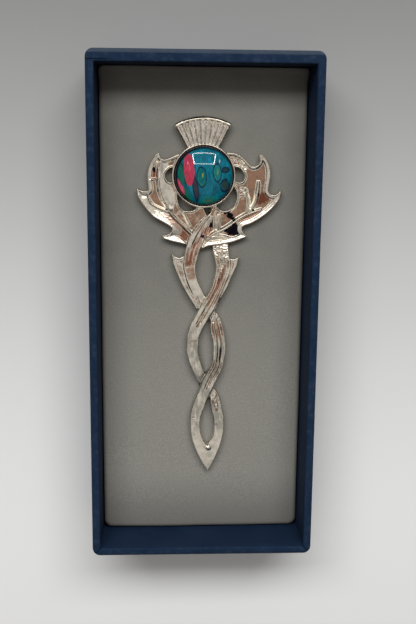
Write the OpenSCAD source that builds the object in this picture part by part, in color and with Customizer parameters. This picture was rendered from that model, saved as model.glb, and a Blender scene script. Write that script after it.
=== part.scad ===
// Kilt pin lying in its gift box tray. The brooch is one cast piece: a thistle head round a domed stone,
// two thorny leaves, and a stem of two strands that twist round each other and end in a point.
// A plain pin is soldered to its back and runs through the pad. Millimetres, +Z up, the origin under the
// middle of the tray. The brooch is drawn round the stone's centre, with its back at z = 0, and then placed.

/* [Tray] */
// Outside width of the tray
tray_w = 55; // [50:1:66]
// Outside length of the tray
tray_l = 123; // [116:1:140]
// Outside height of the tray
tray_h = 23; // [20:1:34]
// Thickness of the wrapped board walls
wall_t = 2; // [1.4:0.1:2.6]
// Thickness of the board floor
floor_t = 2; // [1.4:0.1:3]
// Radius of the tray's upright corners
corner_r = 1.4; // [0.6:0.1:2.4]

/* [Pad] */
// Thickness of the foam pad
pad_t = 9; // [8:0.5:12]
// Gap between the pad and the tray's walls
pad_gap = 0.2; // [0.1:0.1:1]
// Rounding of the pad's top edge
pad_edge_r = 1.2; // [0.6:0.1:2]
// Rounding of the pad's corners, seen from above
pad_corner_r = 1.6; // [1:0.1:3]

/* [Place of the brooch on the pad] */
// How far the stone's centre lies from the tray's middle, to the right
brooch_x = 0; // [-2:0.1:2]
// How far the stone's centre lies from the tray's middle, towards the head end
brooch_y = 32.7; // [30:0.1:36]
// How far the brooch is turned on the pad, in degrees
brooch_turn = 1.25; // [-3:0.05:3]
// Gap between the brooch's back and the pad
rest_gap = 0.1; // [0.05:0.05:0.3]

/* [Stone and setting] */
// Diameter of the stone
stone_d = 14.2; // [12:0.1:16]
// Height of the stone's straight side above its seat
stone_side_h = 1.9; // [1.4:0.1:2.6]
// Height of the stone's dome above its straight side
dome_h = 2.5; // [1.6:0.1:4]
// Radius of the turn between the dome and the straight side
dome_shoulder_r = 1.5; // [0.6:0.1:1.6]
// Gap round and under the stone
stone_gap = 0.08; // [0.04:0.01:0.2]
// Thickness of the bezel's wall
bezel_wall = 0.55; // [0.4:0.05:1]
// Height of the bezel above the brooch's back
bezel_h = 3; // [2.6:0.1:3.6]
// Thickness of the cup's floor under the stone
seat_t = 1; // [0.7:0.1:1.4]

/* [Thistle tuft] */
// Distance from the stone's centre to the tuft's top edge
tuft_r = 14.3; // [12.5:0.1:18]
// Angle that the tuft spans, in degrees
tuft_spread = 59; // [40:1:70]
// Number of reeds across the tuft
reed_count = 9; // [8:1:12]
// Thickness of the tuft between its reeds
tuft_t = 1.5; // [1.1:0.1:2]
// Length of the worn, sloping end of each reed
reed_end = 0.7; // [0.4:0.1:1.2]

/* [Leaves] */
// Distance from the stone's centre to the left leaf's tip
left_reach = 16.3; // [14.5:0.1:19]
// Distance from the stone's centre to the right leaf's tip
right_reach = 19.1; // [17:0.1:22]
// Thickness of the leaves at their rims
leaf_t = 1.9; // [1.5:0.1:2.4]
// Depth of the leaves' hollow fields below their rims
field_drop = 0.6; // [0.2:0.05:0.9]
// Width of the rims
rim_w = 0.55; // [0.35:0.05:0.9]
// Width of the main veins
vein_w = 1; // [0.6:0.05:1.4]
// Height of the veins above the leaves' rims
vein_rise = 0.25; // [0:0.05:0.5]

/* [Stem] */
// Distance from the stone's centre to the stem's point
stem_l = 75.7; // [68:0.1:80]
// Half the width over the stem's loops
loop_w = 5; // [4.2:0.1:6]
// Thickness of a strand at its rims
strand_t = 2.1; // [1.7:0.1:2.6]
// Depth of the groove along a strand
groove_d = 0.75; // [0.3:0.05:1]
// How much lower a strand passes where the other lies over it
dip = 0.6; // [0.3:0.1:1]

/* [Pin on the back] */
// Diameter of the pin's stem
pin_d = 1.1; // [0.8:0.1:1.4]
// Length of the pin between its joint block and its catch
pin_l = 50; // [46:1:54]
// Depth of the pin's axis below the brooch's back
pin_depth = 2.6; // [2.2:0.1:3.2]
// Width and length of the joint block and of the catch
block_w = 3; // [2.4:0.1:4]
// Gap round the pin in the pad
pin_gap = 0.3; // [0.2:0.05:0.6]
// Gap between the pin's blocks and the brooch's back
solder_gap = 0.03; // [0.02:0.01:0.1]

/* [Hidden] */

pad_top = floor_t + pad_t;
brooch_z = pad_top + rest_gap;
bezel_r = stone_d / 2 + stone_gap + bezel_wall;
pocket_r = bezel_r - bezel_wall;
round_fn = 72;
hull_fn = 32;
// Longest step along a leaf's edge, and steps between two rows of a strand's or a vein's table
edge_step = 1;
strand_steps = 2;
vein_steps = 2;
// Share of its width that a rim has at its ends, and the share that it gains with each step from there
rim_end = 0.25;
rim_taper = 0.35;
// How far a leaf's plate stays inside the rims that cover its edge, and how far its back lies above theirs
tuck = 0.08;
back_step = 0.1;
// Height of a reed's axis as a share of the tuft's thickness, and its radius at its worn end as a share of its
// widest radius
reed_axis = 0.93;
reed_point = 0.8;

// A leaf's edge, with the stone's centre as the origin: out is the way to the leaf's own side and up the way
// to the head end, both as shares of the leaf's reach. Bend is 0 on a smooth curve, 1 at a corner, and 2 at a
// corner that starts a straight part which lies inside the stem or the bezel and has no rim.
// out, up, bend
left_edge = [
    [0.28,  0.36, 1],
    [0.37,  0.33, 0],
    [0.49,  0.28, 0],
    [0.57,  0.255, 0],
    [0.62,  0.27, 0],
    [0.66,  0.345, 1],
    [0.71,  0.32, 0],
    [0.76,  0.26, 0],
    [0.81,  0.17, 0],
    [0.84,  0.06, 0],
    [0.845, -0.05, 0],
    [0.835, -0.16, 0],
    [0.85, -0.205, 0],
    [0.91, -0.205, 0],
    [1.00, -0.18, 1],
    [0.99, -0.29, 0],
    [0.94, -0.39, 0],
    [0.87, -0.49, 0],
    [0.77, -0.60, 0],
    [0.64, -0.68, 0],
    [0.54, -0.74, 0],
    [0.49, -0.79, 0],
    [0.52, -0.84, 0],
    [0.57, -0.87, 0],
    [0.64, -0.885, 1],
    [0.61, -0.93, 0],
    [0.52, -0.97, 0],
    [0.40, -1.00, 0],
    [0.28, -1.02, 2],
    [0.16, -1.00, 2],
    [-0.02, -0.74, 2],
    [-0.05, -0.45, 2],
];
left_veins = [
    [
        // out, up, width, rise
        [0.67,  0.20, 0.5, 0.0],
        [0.67,  0.05, 0.9, 0.5],
        [0.67, -0.15, 0.9, 1.0],
        [0.63, -0.31, 0.8, 1.0],
        [0.57, -0.43, 0.7, 1.0],
        [0.48, -0.58, 0.7, 1.0],
        [0.37, -0.69, 0.7, 1.0],
        [0.26, -0.80, 0.8, 1.0],
        [0.19, -0.87, 0.8, 1.0],
    ],
    [
        [0.48, -0.55, 0.5, 0.8],
        [0.60, -0.50, 0.5, 0.6],
        [0.71, -0.45, 0.5, 0.4],
        [0.79, -0.40, 0.5, 0.2],
        [0.825, -0.32, 0.5, 0.0],
        [0.84, -0.24, 0.5, 0.0],
    ],
    [
        [0.61, -0.36, 0.5, 0.0],
        [0.55, -0.26, 0.4, -1.0],
        [0.50, -0.17, 0.2, -2.0],
    ],
    [
        [0.31, -0.54, 0.5, 0.0],
        [0.27, -0.64, 0.4, 0.0],
        [0.22, -0.74, 0.5, 0.0],
    ],
    [
        [0.83, -0.06, 0.4, 0.0],
        [0.68, -0.03, 0.5, 0.0],
    ],
];
left_holes = [
    [
        // out, up, bend
        [0.40, -0.26, 1],
        [0.39, -0.36, 0],
        [0.36, -0.45, 0],
        [0.30, -0.51, 0],
        [0.22, -0.52, 0],
        [0.14, -0.50, 0],
        [0.10, -0.44, 2],
    ],
    [
        [0.43,  0.14, 1],
        [0.50,  0.11, 0],
        [0.56,  0.05, 0],
        [0.57, -0.01, 0],
        [0.54, -0.07, 0],
        [0.49, -0.09, 0],
        [0.43, -0.07, 2],
    ],
    [
        [ 0.035, -0.43, 2],
        [-0.047, -0.62, 2],
        [-0.12, -0.43, 2],
    ],
];

right_edge = [
    [0.24,  0.30, 1],
    [0.32,  0.29, 0],
    [0.41,  0.28, 0],
    [0.50,  0.23, 0],
    [0.58,  0.15, 0],
    [0.63,  0.11, 0],
    [0.69,  0.13, 0],
    [0.715, 0.18, 0],
    [0.71,  0.25, 1],
    [0.76,  0.25, 0],
    [0.80,  0.21, 0],
    [0.84,  0.14, 0],
    [0.86,  0.04, 0],
    [0.855, -0.06, 0],
    [0.835, -0.17, 0],
    [0.84, -0.22, 0],
    [0.88, -0.25, 0],
    [0.93, -0.245, 0],
    [0.99, -0.20, 1],
    [0.98, -0.30, 0],
    [0.92, -0.39, 0],
    [0.83, -0.48, 0],
    [0.72, -0.56, 0],
    [0.61, -0.62, 0],
    [0.52, -0.65, 0],
    [0.49, -0.68, 0],
    [0.50, -0.72, 0],
    [0.55, -0.78, 1],
    [0.50, -0.81, 0],
    [0.42, -0.84, 0],
    [0.33, -0.865, 0],
    [0.18, -0.89, 0],
    [0.05, -0.905, 0],
    [-0.03, -0.93, 2],
    [-0.09, -0.86, 2],
    [ 0.00, -0.64, 2],
    [ 0.00, -0.38, 2],
];
right_veins = [
    [
        // out, up, width, rise
        [0.03, -0.81, 0.8, 1.0],
        [0.12, -0.74, 0.8, 1.0],
        [0.24, -0.69, 0.9, 1.0],
        [0.34, -0.63, 0.9, 1.0],
        [0.44, -0.56, 0.9, 1.0],
        [0.55, -0.50, 0.9, 1.0],
        [0.64, -0.47, 0.8, 0.6],
        [0.74, -0.44, 0.6, 0.0],
    ],
    [
        [0.56, -0.49, 0.8, 1.0],
        [0.575, -0.39, 0.7, 0.6],
        [0.57, -0.29, 0.6, 0.0],
        [0.53, -0.17, 0.5, -1.0],
    ],
    [
        [0.60, -0.45, 0.8, 0.6],
        [0.65, -0.36, 0.9, 0.6],
        [0.68, -0.25, 0.9, 0.4],
        [0.695, -0.16, 0.9, 0.2],
        [0.70, -0.08, 0.7, 0.0],
    ],
    [
        [0.03, -0.83, 0.7, 0.8],
        [0.12, -0.78, 0.8, 0.6],
        [0.23, -0.78, 0.8, 0.3],
        [0.34, -0.80, 0.3, -0.5],
    ],
    [
        [0.12, -0.51, 0.8, 0.3],
        [0.12, -0.67, 0.8, 0.3],
    ],
    [
        [0.19, -0.50, 0.6, 0.0],
        [0.19, -0.68, 0.6, 0.0],
    ],
];
right_holes = [
    [
        // out, up, bend
        [0.36, -0.12, 1],
        [0.41, -0.20, 0],
        [0.42, -0.27, 0],
        [0.40, -0.35, 0],
        [0.35, -0.42, 0],
        [0.27, -0.45, 0],
        [0.20, -0.43, 0],
        [0.15, -0.36, 2],
    ],
    [
        [0.37,  0.11, 1],
        [0.45,  0.09, 0],
        [0.49,  0.05, 0],
        [0.52, -0.01, 0],
        [0.50, -0.07, 0],
        [0.45, -0.09, 0],
        [0.37, -0.06, 2],
    ],
    [
        [-0.03, -0.37, 2],
        [ 0.04, -0.53, 2],
        [ 0.105, -0.37, 2],
    ],
];

// The leaflets that stand out from the stem at its first loop, in the same shares
left_leaflet = [
    [0.28, -1.17, 1],
    [0.37, -1.22, 0],
    [0.43, -1.21, 0],
    [0.50, -1.16, 1],
    [0.485, -1.30, 0],
    [0.435, -1.46, 0],
    [0.34, -1.68, 0],
    [0.235, -1.87, 0],
    [0.14, -2.02, 2],
    [0.04, -1.99, 2],
    [0.16, -1.66, 2],
    [0.20, -1.35, 2],
];
right_leaflet = [
    [0.29, -1.00, 1],
    [0.33, -1.06, 0],
    [0.38, -1.075, 0],
    [0.44, -1.05, 1],
    [0.415, -1.17, 0],
    [0.37, -1.27, 0],
    [0.29, -1.45, 0],
    [0.21, -1.59, 0],
    [0.12, -1.75, 2],
    [0.05, -1.68, 2],
    [0.19, -1.36, 2],
    [0.24, -1.10, 2],
];

// The strands run down the stem: down is the way from the bezel's edge at 0 to the stem's point at 1, and
// across is to the right, as a share of half the width over the loops. Half is the strand's half width
// in the same share, groove is the share of the groove's depth, and lift the share of the dip, which is
// below 0 where the strand passes under the other.
// down, across, half, groove, lift
strand_left = [
    [-0.010,  0.54, 0.10, 0.0,  0.0],
    [ 0.016,  0.43, 0.11, 0.2,  0.2],
    [ 0.038,  0.25, 0.16, 0.6,  0.4],
    [ 0.060,  0.03, 0.25, 0.9,  0.5],
    [ 0.090, -0.21, 0.35, 1.0,  0.4],
    [ 0.119, -0.41, 0.39, 1.0,  0.2],
    [ 0.142, -0.55, 0.38, 1.0,  0.0],
    [ 0.166, -0.65, 0.36, 1.0,  0.0],
    [ 0.210, -0.76, 0.32, 0.8,  0.0],
    [ 0.240, -0.72, 0.28, 0.6,  0.0],
    [ 0.270, -0.62, 0.27, 0.6,  0.0],
    [ 0.306, -0.42, 0.27, 0.4, -0.4],
    [ 0.343, -0.18, 0.26, 0.2, -1.0],
    [ 0.372,  0.08, 0.24, 0.0, -1.3],
    [ 0.408,  0.46, 0.25, 0.5, -0.8],
    [ 0.445,  0.55, 0.35, 1.0, -0.2],
    [ 0.475,  0.63, 0.35, 1.0,  0.0],
    [ 0.505,  0.67, 0.34, 1.0,  0.0],
    [ 0.535,  0.67, 0.34, 1.0,  0.0],
    [ 0.565,  0.62, 0.32, 1.0,  0.0],
    [ 0.595,  0.52, 0.31, 0.9,  0.2],
    [ 0.622,  0.31, 0.32, 0.8,  0.5],
    [ 0.652,  0.10, 0.33, 0.6,  0.6],
    [ 0.682, -0.08, 0.32, 0.4,  0.5],
    [ 0.711, -0.25, 0.32, 0.3,  0.2],
    [ 0.741, -0.41, 0.33, 0.3,  0.0],
    [ 0.770, -0.55, 0.30, 0.3,  0.0],
    [ 0.800, -0.61, 0.28, 0.3,  0.0],
    [ 0.829, -0.61, 0.27, 0.3,  0.0],
    [ 0.859, -0.56, 0.28, 0.3,  0.0],
    [ 0.888, -0.44, 0.30, 0.3,  0.0],
    [ 0.918, -0.24, 0.36, 0.2,  0.0],
    [ 0.947, -0.13, 0.29, 0.1, -0.2],
    [ 0.975, -0.05, 0.17, 0.0, -0.5],
    [ 1.000,  0.02, 0.03, 0.0, -0.8],
];
strand_right = [
    [ 0.131,  0.79, 0.40, 0.2, -0.6],
    [ 0.151,  0.79, 0.42, 0.3, -0.3],
    [ 0.181,  0.85, 0.39, 0.5,  0.0],
    [ 0.210,  0.92, 0.40, 1.0,  0.0],
    [ 0.240,  0.86, 0.37, 1.0,  0.0],
    [ 0.269,  0.73, 0.33, 1.0,  0.0],
    [ 0.299,  0.58, 0.30, 1.0,  0.2],
    [ 0.328,  0.38, 0.33, 1.0,  0.5],
    [ 0.358,  0.16, 0.36, 1.0,  0.6],
    [ 0.387, -0.07, 0.35, 1.0,  0.5],
    [ 0.417, -0.30, 0.35, 0.6,  0.2],
    [ 0.446, -0.51, 0.35, 0.3,  0.0],
    [ 0.475, -0.64, 0.33, 0.3,  0.0],
    [ 0.505, -0.68, 0.32, 0.3,  0.0],
    [ 0.535, -0.68, 0.31, 0.3,  0.0],
    [ 0.564, -0.61, 0.30, 0.3,  0.0],
    [ 0.593, -0.48, 0.29, 0.3,  0.0],
    [ 0.623, -0.32, 0.27, 0.3, -0.4],
    [ 0.652, -0.10, 0.25, 0.0, -1.2],
    [ 0.682,  0.14, 0.24, 0.2, -1.2],
    [ 0.704,  0.38, 0.24, 0.4, -0.6],
    [ 0.726,  0.44, 0.27, 0.8, -0.1],
    [ 0.755,  0.50, 0.30, 0.4,  0.0],
    [ 0.785,  0.59, 0.29, 0.3,  0.0],
    [ 0.814,  0.61, 0.28, 0.3,  0.0],
    [ 0.844,  0.59, 0.27, 0.3,  0.0],
    [ 0.873,  0.50, 0.28, 0.3,  0.0],
    [ 0.903,  0.31, 0.35, 0.3,  0.0],
    [ 0.932,  0.20, 0.30, 0.2, -0.1],
    [ 0.962,  0.10, 0.20, 0.1, -0.3],
    [ 0.995,  0.02, 0.04, 0.0, -0.8],
];

// Sections, from the left side of the way to the right: share of the half width or width, height as a share
// of the thickness, and share of the groove
// across, height, groove
strand_section = [
    [-1.00, 0.50, 0.0],
    [-0.88, 0.86, 0.0],
    [-0.62, 1.00, 0.0],
    [-0.20, 1.00, 1.0],
    [ 0.20, 1.00, 1.0],
    [ 0.62, 1.00, 0.0],
    [ 0.88, 0.86, 0.0],
    [ 1.00, 0.50, 0.0],
];
vein_section = [
    [-2.40, 0.50, 0.0],
    [-1.00, 0.80, 0.0],
    [-0.40, 1.00, 0.0],
    [ 0.40, 1.00, 0.0],
    [ 1.00, 0.80, 0.0],
    [ 2.40, 0.50, 0.0],
];
rim_section = [
    [0.00, 0.50, 0.0],
    [0.20, 0.90, 0.0],
    [0.60, 1.00, 0.0],
    [1.00, 0.84, 0.0],
    [2.00, 0.55, 0.0],
];

// A smooth curve through the rows of a table, each column on its own
function curve_at(a, b, c, d, t) =
    0.5 * (2 * b + (c - a) * t + (2 * a - 5 * b + 4 * c - d) * t * t
           + (3 * b - a - 3 * c + d) * t * t * t);
function curve_part(rows, i, t) =
    curve_at(rows[max(i - 1, 0)], rows[i], rows[i + 1], rows[min(i + 2, len(rows) - 1)], t);
function smooth(rows, steps) = [
    for (i = [0 : len(rows) - 2], k = [0 : steps - 1]) curve_part(rows, i, k / steps),
    rows[len(rows) - 1],
];
function smooth_by_length(rows, reach) = [
    for (i = [0 : len(rows) - 2]) let (
        step = rows[i + 1] - rows[i],
        count = max(1, ceil(reach * norm([step.x, step.y]) / edge_step)),
    ) for (k = [0 : count - 1]) curve_part(rows, i, k / count),
    rows[len(rows) - 1],
];

// The parts of an edge from each corner to the next, as points in millimetres
function edge_parts(edge, reach) = let (
    n = len(edge),
    corners = [for (i = [0 : n - 1]) if (edge[i].z > 0) i],
    count = len(corners),
) [
    for (c = [0 : count - 1]) let (
        first = corners[c],
        past = c + 1 < count ? corners[c + 1] : corners[0] + n,
        rows = [for (i = [first : past]) edge[i % n]],
        curve = edge[first].z == 1 ? smooth_by_length(rows, reach) : rows,
    ) [edge[first].z, [for (p = curve) reach * [p.x, p.y]]]
];
function edge_loop(edge, reach) = [
    for (part = edge_parts(edge, reach), i = [0 : len(part[1]) - 2]) part[1][i]
];

// The direction of a path of points at one of them
function heading(path, i) =
    let (d = path[min(i + 1, len(path) - 1)] - path[max(i - 1, 0)]) d / norm(d);
function other_hand(section) =
    [for (i = [len(section) - 1 : -1 : 0]) [-section[i][0], section[i][1], section[i][2]]];

// A solid through closed rings that have as many points each, in order, with a flat cap at both ends
module skin(rings) {
    n = len(rings[0]);
    last = len(rings) - 1;
    polyhedron(
        points = [for (ring = rings, p = ring) p],
        faces = [
            [for (i = [0 : n - 1]) i],
            for (r = [0 : last - 1], i = [0 : n - 1]) each let (
                a = r * n + i,
                b = r * n + (i + 1) % n,
            ) [[a, b + n, b], [a, a + n, b + n]],
            [for (i = [0 : n - 1]) last * n + n - 1 - i],
        ]
    );
}

// A band from the back up to its section: points are its line, and rows hold width, top and groove depth
module band(points, rows, section) {
    last = len(section) - 1;
    skin([
        for (i = [0 : len(points) - 1]) let (
            way = heading(points, i),
            side = [way.y, -way.x] * rows[i][0],
            at = function (u, z) [points[i].x + side.x * u, points[i].y + side.y * u, z],
        ) [
            at(section[0][0], 0),
            for (s = section) at(s[0], rows[i][1] * s[1] - rows[i][2] * s[2]),
            at(section[last][0], 0),
        ]
    ]);
}

module strand(table) {
    rows = smooth(table, strand_steps);
    band(
        [for (r = rows) [r[1] * loop_w, -bezel_r - r[0] * (stem_l - bezel_r)]],
        [for (r = rows) [r[2] * loop_w, strand_t + r[4] * dip, r[3] * groove_d]],
        strand_section
    );
}

// A raised rim along each part of an edge that shows, on the edge's right or left, narrower at its ends
module rims(edge, reach, section) {
    for (part = edge_parts(edge, reach))
        if (part[0] == 1) {
            last = len(part[1]) - 1;
            band(
                part[1],
                [for (i = [0 : last]) [rim_w * min(1, rim_end + rim_taper * min(i, last - i)), leaf_t, 0]],
                section
            );
        }
}

// A leaf: hollow fields between raised rims and veins, and openings with rims of their own
module leaf(reach, edge, holes, veins) {
    difference() {
        union() {
            translate([0, 0, back_step])
                linear_extrude(height = leaf_t - field_drop - back_step)
                    offset(delta = -tuck)
                        polygon(edge_loop(edge, reach));
            rims(edge, reach, rim_section);
            for (vein = veins) {
                rows = smooth(vein, vein_steps);
                band(
                    [for (r = rows) reach * [r[0], r[1]]],
                    [for (r = rows) [r[2] * vein_w / 2, leaf_t + r[3] * vein_rise, 0]],
                    vein_section
                );
            }
        }
        for (hole = holes)
            translate([0, 0, -1])
                linear_extrude(height = tray_h)
                    offset(delta = tuck)
                        polygon(edge_loop(hole, reach));
    }
    for (hole = holes)
        rims(hole, reach, other_hand(rim_section));
}

// The cup that holds the stone
module bezel() {
    cylinder(r = bezel_r, h = bezel_h, $fn = round_fn);
}

// A thin disc across a reed, at a distance from the stone's centre
module reed_disc(distance, radius, height, thickness) {
    translate([0, distance, height])
        rotate([90, 0, 0])
            cylinder(r = radius, h = thickness, center = true, $fn = 16);
}

// The thistle's tuft: reeds that spread from the stone's centre, on a thin plate
module tuft() {
    pitch = tuft_spread / reed_count;
    swell = 1.06;
    inner = bezel_r - bezel_wall / 2;
    shoulder = tuft_r - reed_end;
    half = tan(pitch / 2) * swell;
    axis = tuft_t * reed_axis;
    end_r = shoulder * half * reed_point;
    slice = reed_end / 7;
    linear_extrude(height = tuft_t)
        polygon([
            for (k = [0 : reed_count]) let (a = 90 + (k / reed_count - 0.5) * tuft_spread)
                (shoulder + reed_end / 2) * [cos(a), sin(a)],
            for (k = [reed_count : -1 : 0]) let (a = 90 + (k / reed_count - 0.5) * tuft_spread)
                inner * [cos(a), sin(a)],
        ]);
    for (k = [0 : reed_count - 1])
        rotate([0, 0, (k + 0.5 - reed_count / 2) * pitch])
            hull() {
                reed_disc(inner, inner * half, axis, slice);
                reed_disc(shoulder, shoulder * half, axis, slice);
                reed_disc(tuft_r - slice / 2, end_r, tuft_t - end_r, slice);
            }
}

// The brooch's metal, cast and polished in one piece
module casting() {
    color("silver") on_pad() difference() {
        union() {
            bezel();
            tuft();
            mirror([1, 0, 0]) leaf(left_reach, left_edge, left_holes, left_veins);
            leaf(right_reach, right_edge, right_holes, right_veins);
            mirror([1, 0, 0]) leaf(left_reach, left_leaflet, [], []);
            leaf(right_reach, right_leaflet, [], []);
            strand(strand_left);
            strand(strand_right);
        }
        translate([0, 0, seat_t])
            cylinder(r = pocket_r, h = tray_h, $fn = round_fn);
    }
}

// Half the section of the domed stone: a flat seat, a straight side, a shoulder and a low dome
function mix(a, b, t) = a + (b - a) * t;
function dome_section() = let (
    r = stone_d / 2,
    inner = r - dome_shoulder_r,
    rise = dome_h - dome_shoulder_r,
    // The dome's arc meets the shoulder's arc where both have the same slope
    big_r = (inner * inner + rise * rise) / (2 * rise) + dome_shoulder_r,
    meet = asin(inner / (big_r - dome_shoulder_r)),
    top = stone_side_h + dome_h,
    steps = 6,
) [
    [0, 0],
    [r, 0],
    [r, stone_side_h],
    for (k = [1 : steps]) let (a = mix(90, meet, k / steps))
        [inner + dome_shoulder_r * sin(a), stone_side_h + dome_shoulder_r * cos(a)],
    for (k = [1 : steps - 1]) let (a = mix(meet, 0, k / steps))
        [big_r * sin(a), top - big_r * (1 - cos(a))],
    [0, top],
];

module stone() {
    color("teal") on_pad()
        translate([0, 0, seat_t + stone_gap])
            rotate_extrude($fn = round_fn)
                polygon(dome_section());
}

// The pin: a joint block under the stone's cup, a straight stem and a catch block under the stem's crossing
module pin_outline(grow) {
    far = -pin_l - block_w;
    for (y = [0, far])
        translate([-block_w / 2 - grow, y - grow, -pin_depth - pin_d - grow])
            cube([block_w + 2 * grow, block_w + 2 * grow, pin_depth + pin_d + grow + pin_gap]);
    translate([0, far + block_w / 2, -pin_depth])
        rotate([-90, 0, 0])
            cylinder(d = pin_d + 2 * grow, h = -far, $fn = round_fn);
}

module pin_back() {
    color("silver") on_pad() difference() {
        pin_outline(0);
        translate([-block_w, -pin_l - 2 * block_w, -solder_gap])
            cube([2 * block_w, pin_l + 4 * block_w, tray_h]);
    }
}

// Puts what is drawn round the stone's centre where the brooch lies on the pad
module on_pad() {
    translate([brooch_x, brooch_y, brooch_z])
        rotate([0, 0, brooch_turn])
            children();
}

module rounded_plate(w, l, r) {
    square([w - 2 * r, l], center = true);
    square([w, l - 2 * r], center = true);
    for (x = [-1, 1], y = [-1, 1])
        translate([x * (w / 2 - r), y * (l / 2 - r)])
            circle(r = r, $fn = round_fn);
}

// The foam pad, with a pocket for each block of the pin and a way through for its stem
module pad() {
    w = tray_w - 2 * (wall_t + pad_gap);
    l = tray_l - 2 * (wall_t + pad_gap);
    color("dimgray") difference() {
        hull() {
            for (x = [-1, 1], y = [-1, 1])
                translate([x * (w / 2 - pad_corner_r), y * (l / 2 - pad_corner_r), floor_t]) {
                    cylinder(r = pad_corner_r, h = pad_t - pad_edge_r, $fn = hull_fn);
                    for (a = [0 : 22.5 : 90])
                        cylinder(
                            r = max(pad_corner_r - pad_edge_r * (1 - cos(a)), 0.01),
                            h = pad_t - pad_edge_r * (1 - sin(a)),
                            $fn = hull_fn
                        );
                }
        }
        on_pad() pin_outline(pin_gap);
    }
}

// The tray: a board floor and four walls, wrapped in paper
module tray() {
    color("midnightblue") difference() {
        linear_extrude(height = tray_h)
            rounded_plate(tray_w, tray_l, corner_r);
        translate([-tray_w / 2 + wall_t, -tray_l / 2 + wall_t, floor_t])
            cube([tray_w - 2 * wall_t, tray_l - 2 * wall_t, tray_h]);
    }
}

tray();
pad();
casting();
stone();
pin_back();
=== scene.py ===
"""The looks of a kilt pin in its gift box tray: cast metal, a domed stone, a foam pad and wrapped board.

Shapes are worked out in millimetres. The brooch has a frame of its own, with the stone's centre as the
origin, its back at z = 0 and +Y to the head end, and seat() turns it and puts it where the CAD brooch lies.
"""

import math

import bmesh
import bpy
import numpy as np
from mathutils import Matrix, Vector, noise


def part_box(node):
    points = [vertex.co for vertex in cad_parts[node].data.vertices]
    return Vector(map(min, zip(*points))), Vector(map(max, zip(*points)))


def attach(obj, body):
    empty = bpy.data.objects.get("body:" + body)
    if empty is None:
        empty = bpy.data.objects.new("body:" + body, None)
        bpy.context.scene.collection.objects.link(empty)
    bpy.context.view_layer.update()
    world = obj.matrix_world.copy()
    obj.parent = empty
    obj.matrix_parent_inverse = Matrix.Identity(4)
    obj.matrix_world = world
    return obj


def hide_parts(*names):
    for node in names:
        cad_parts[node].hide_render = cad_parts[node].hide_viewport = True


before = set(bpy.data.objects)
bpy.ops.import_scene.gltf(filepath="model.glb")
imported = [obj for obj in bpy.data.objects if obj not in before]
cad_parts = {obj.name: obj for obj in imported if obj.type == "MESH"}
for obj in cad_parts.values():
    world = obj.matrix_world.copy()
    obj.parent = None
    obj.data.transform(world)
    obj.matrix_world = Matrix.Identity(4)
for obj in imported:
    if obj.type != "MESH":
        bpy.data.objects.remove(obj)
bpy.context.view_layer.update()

MM = 0.001
BROOCH_TURN = math.radians(1.25)


def box_mm(node):
    """The lowest and highest corners of a CAD node, in millimetres."""
    low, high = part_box(node)
    return np.array(low) / MM, np.array(high) / MM


STONE_LOW, STONE_HIGH = box_mm("stone")
PAD_LOW, PAD_HIGH = box_mm("pad")
TRAY_LOW, TRAY_HIGH = box_mm("tray")
STONE_X, STONE_Y = (STONE_LOW[:2] + STONE_HIGH[:2]) / 2
BROOCH_Z = box_mm("casting")[0][2]

# Sizes of the brooch, as in the part's source
STONE_R = 7.1
STONE_SIDE_H = 1.9
DOME_H = 2.5
DOME_SHOULDER_R = 1.5
STONE_GAP = 0.08
BEZEL_R = 7.73
BEZEL_H = 3.0
SEAT_T = 1.0
TUFT_R = 14.3
TUFT_SPREAD = math.radians(59)
REED_COUNT = 9
TUFT_T = 1.5
REED_END = 0.7
LEFT_REACH = 16.3
RIGHT_REACH = 19.1
LEAF_T = 1.9
FIELD_DROP = 0.6
RIM_W = 0.55
VEIN_W = 1.0
VEIN_RISE = 0.25
STEM_L = 75.7
LOOP_W = 5.0
STRAND_T = 2.1
GROOVE_D = 0.75
DIP = 0.6

# Sizes that the part's source doesn't have
EDGE_STEP = 0.45
LATHE_STEPS = 144
HOLE_RIM_W = 0.36
# Half the width of a full vein as a share of VEIN_W, and a leaflet's thickness as a share of a leaf's
VEIN_HALF_SHARE = 0.43
LEAFLET_SHARE = 0.93
# How much thicker the wrapped wall is at the head end, where the paper's ends are folded in
HEAD_WALL_MORE = 1.0

# The tables of leaves and openings are in hundredths, with places as hundredths of the leaf's reach: out is
# the way to the leaf's own side and up the way to the head end. Bend is 1 at a corner, 2 at a corner that
# starts a straight part with no rim, and left out on a smooth curve.
# out, up, bend
LEFT_EDGE = [
    (28, 36, 1), (37, 33), (49, 28), (57, 25.5), (62, 27), (66, 34.5, 1), (71, 32), (76, 26), (81, 17),
    (84, 6), (84.5, -5), (83.5, -16), (85, -20.5), (91, -20.5), (100, -18, 1), (99, -29), (94, -39),
    (87, -49), (77, -60), (64, -68), (54, -74), (49, -79), (52, -84), (57, -87), (64, -88.5, 1), (61, -93),
    (52, -97), (40, -100), (28, -102, 2), (16, -100, 2), (-2, -74, 2), (-5, -45, 2),
]
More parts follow.
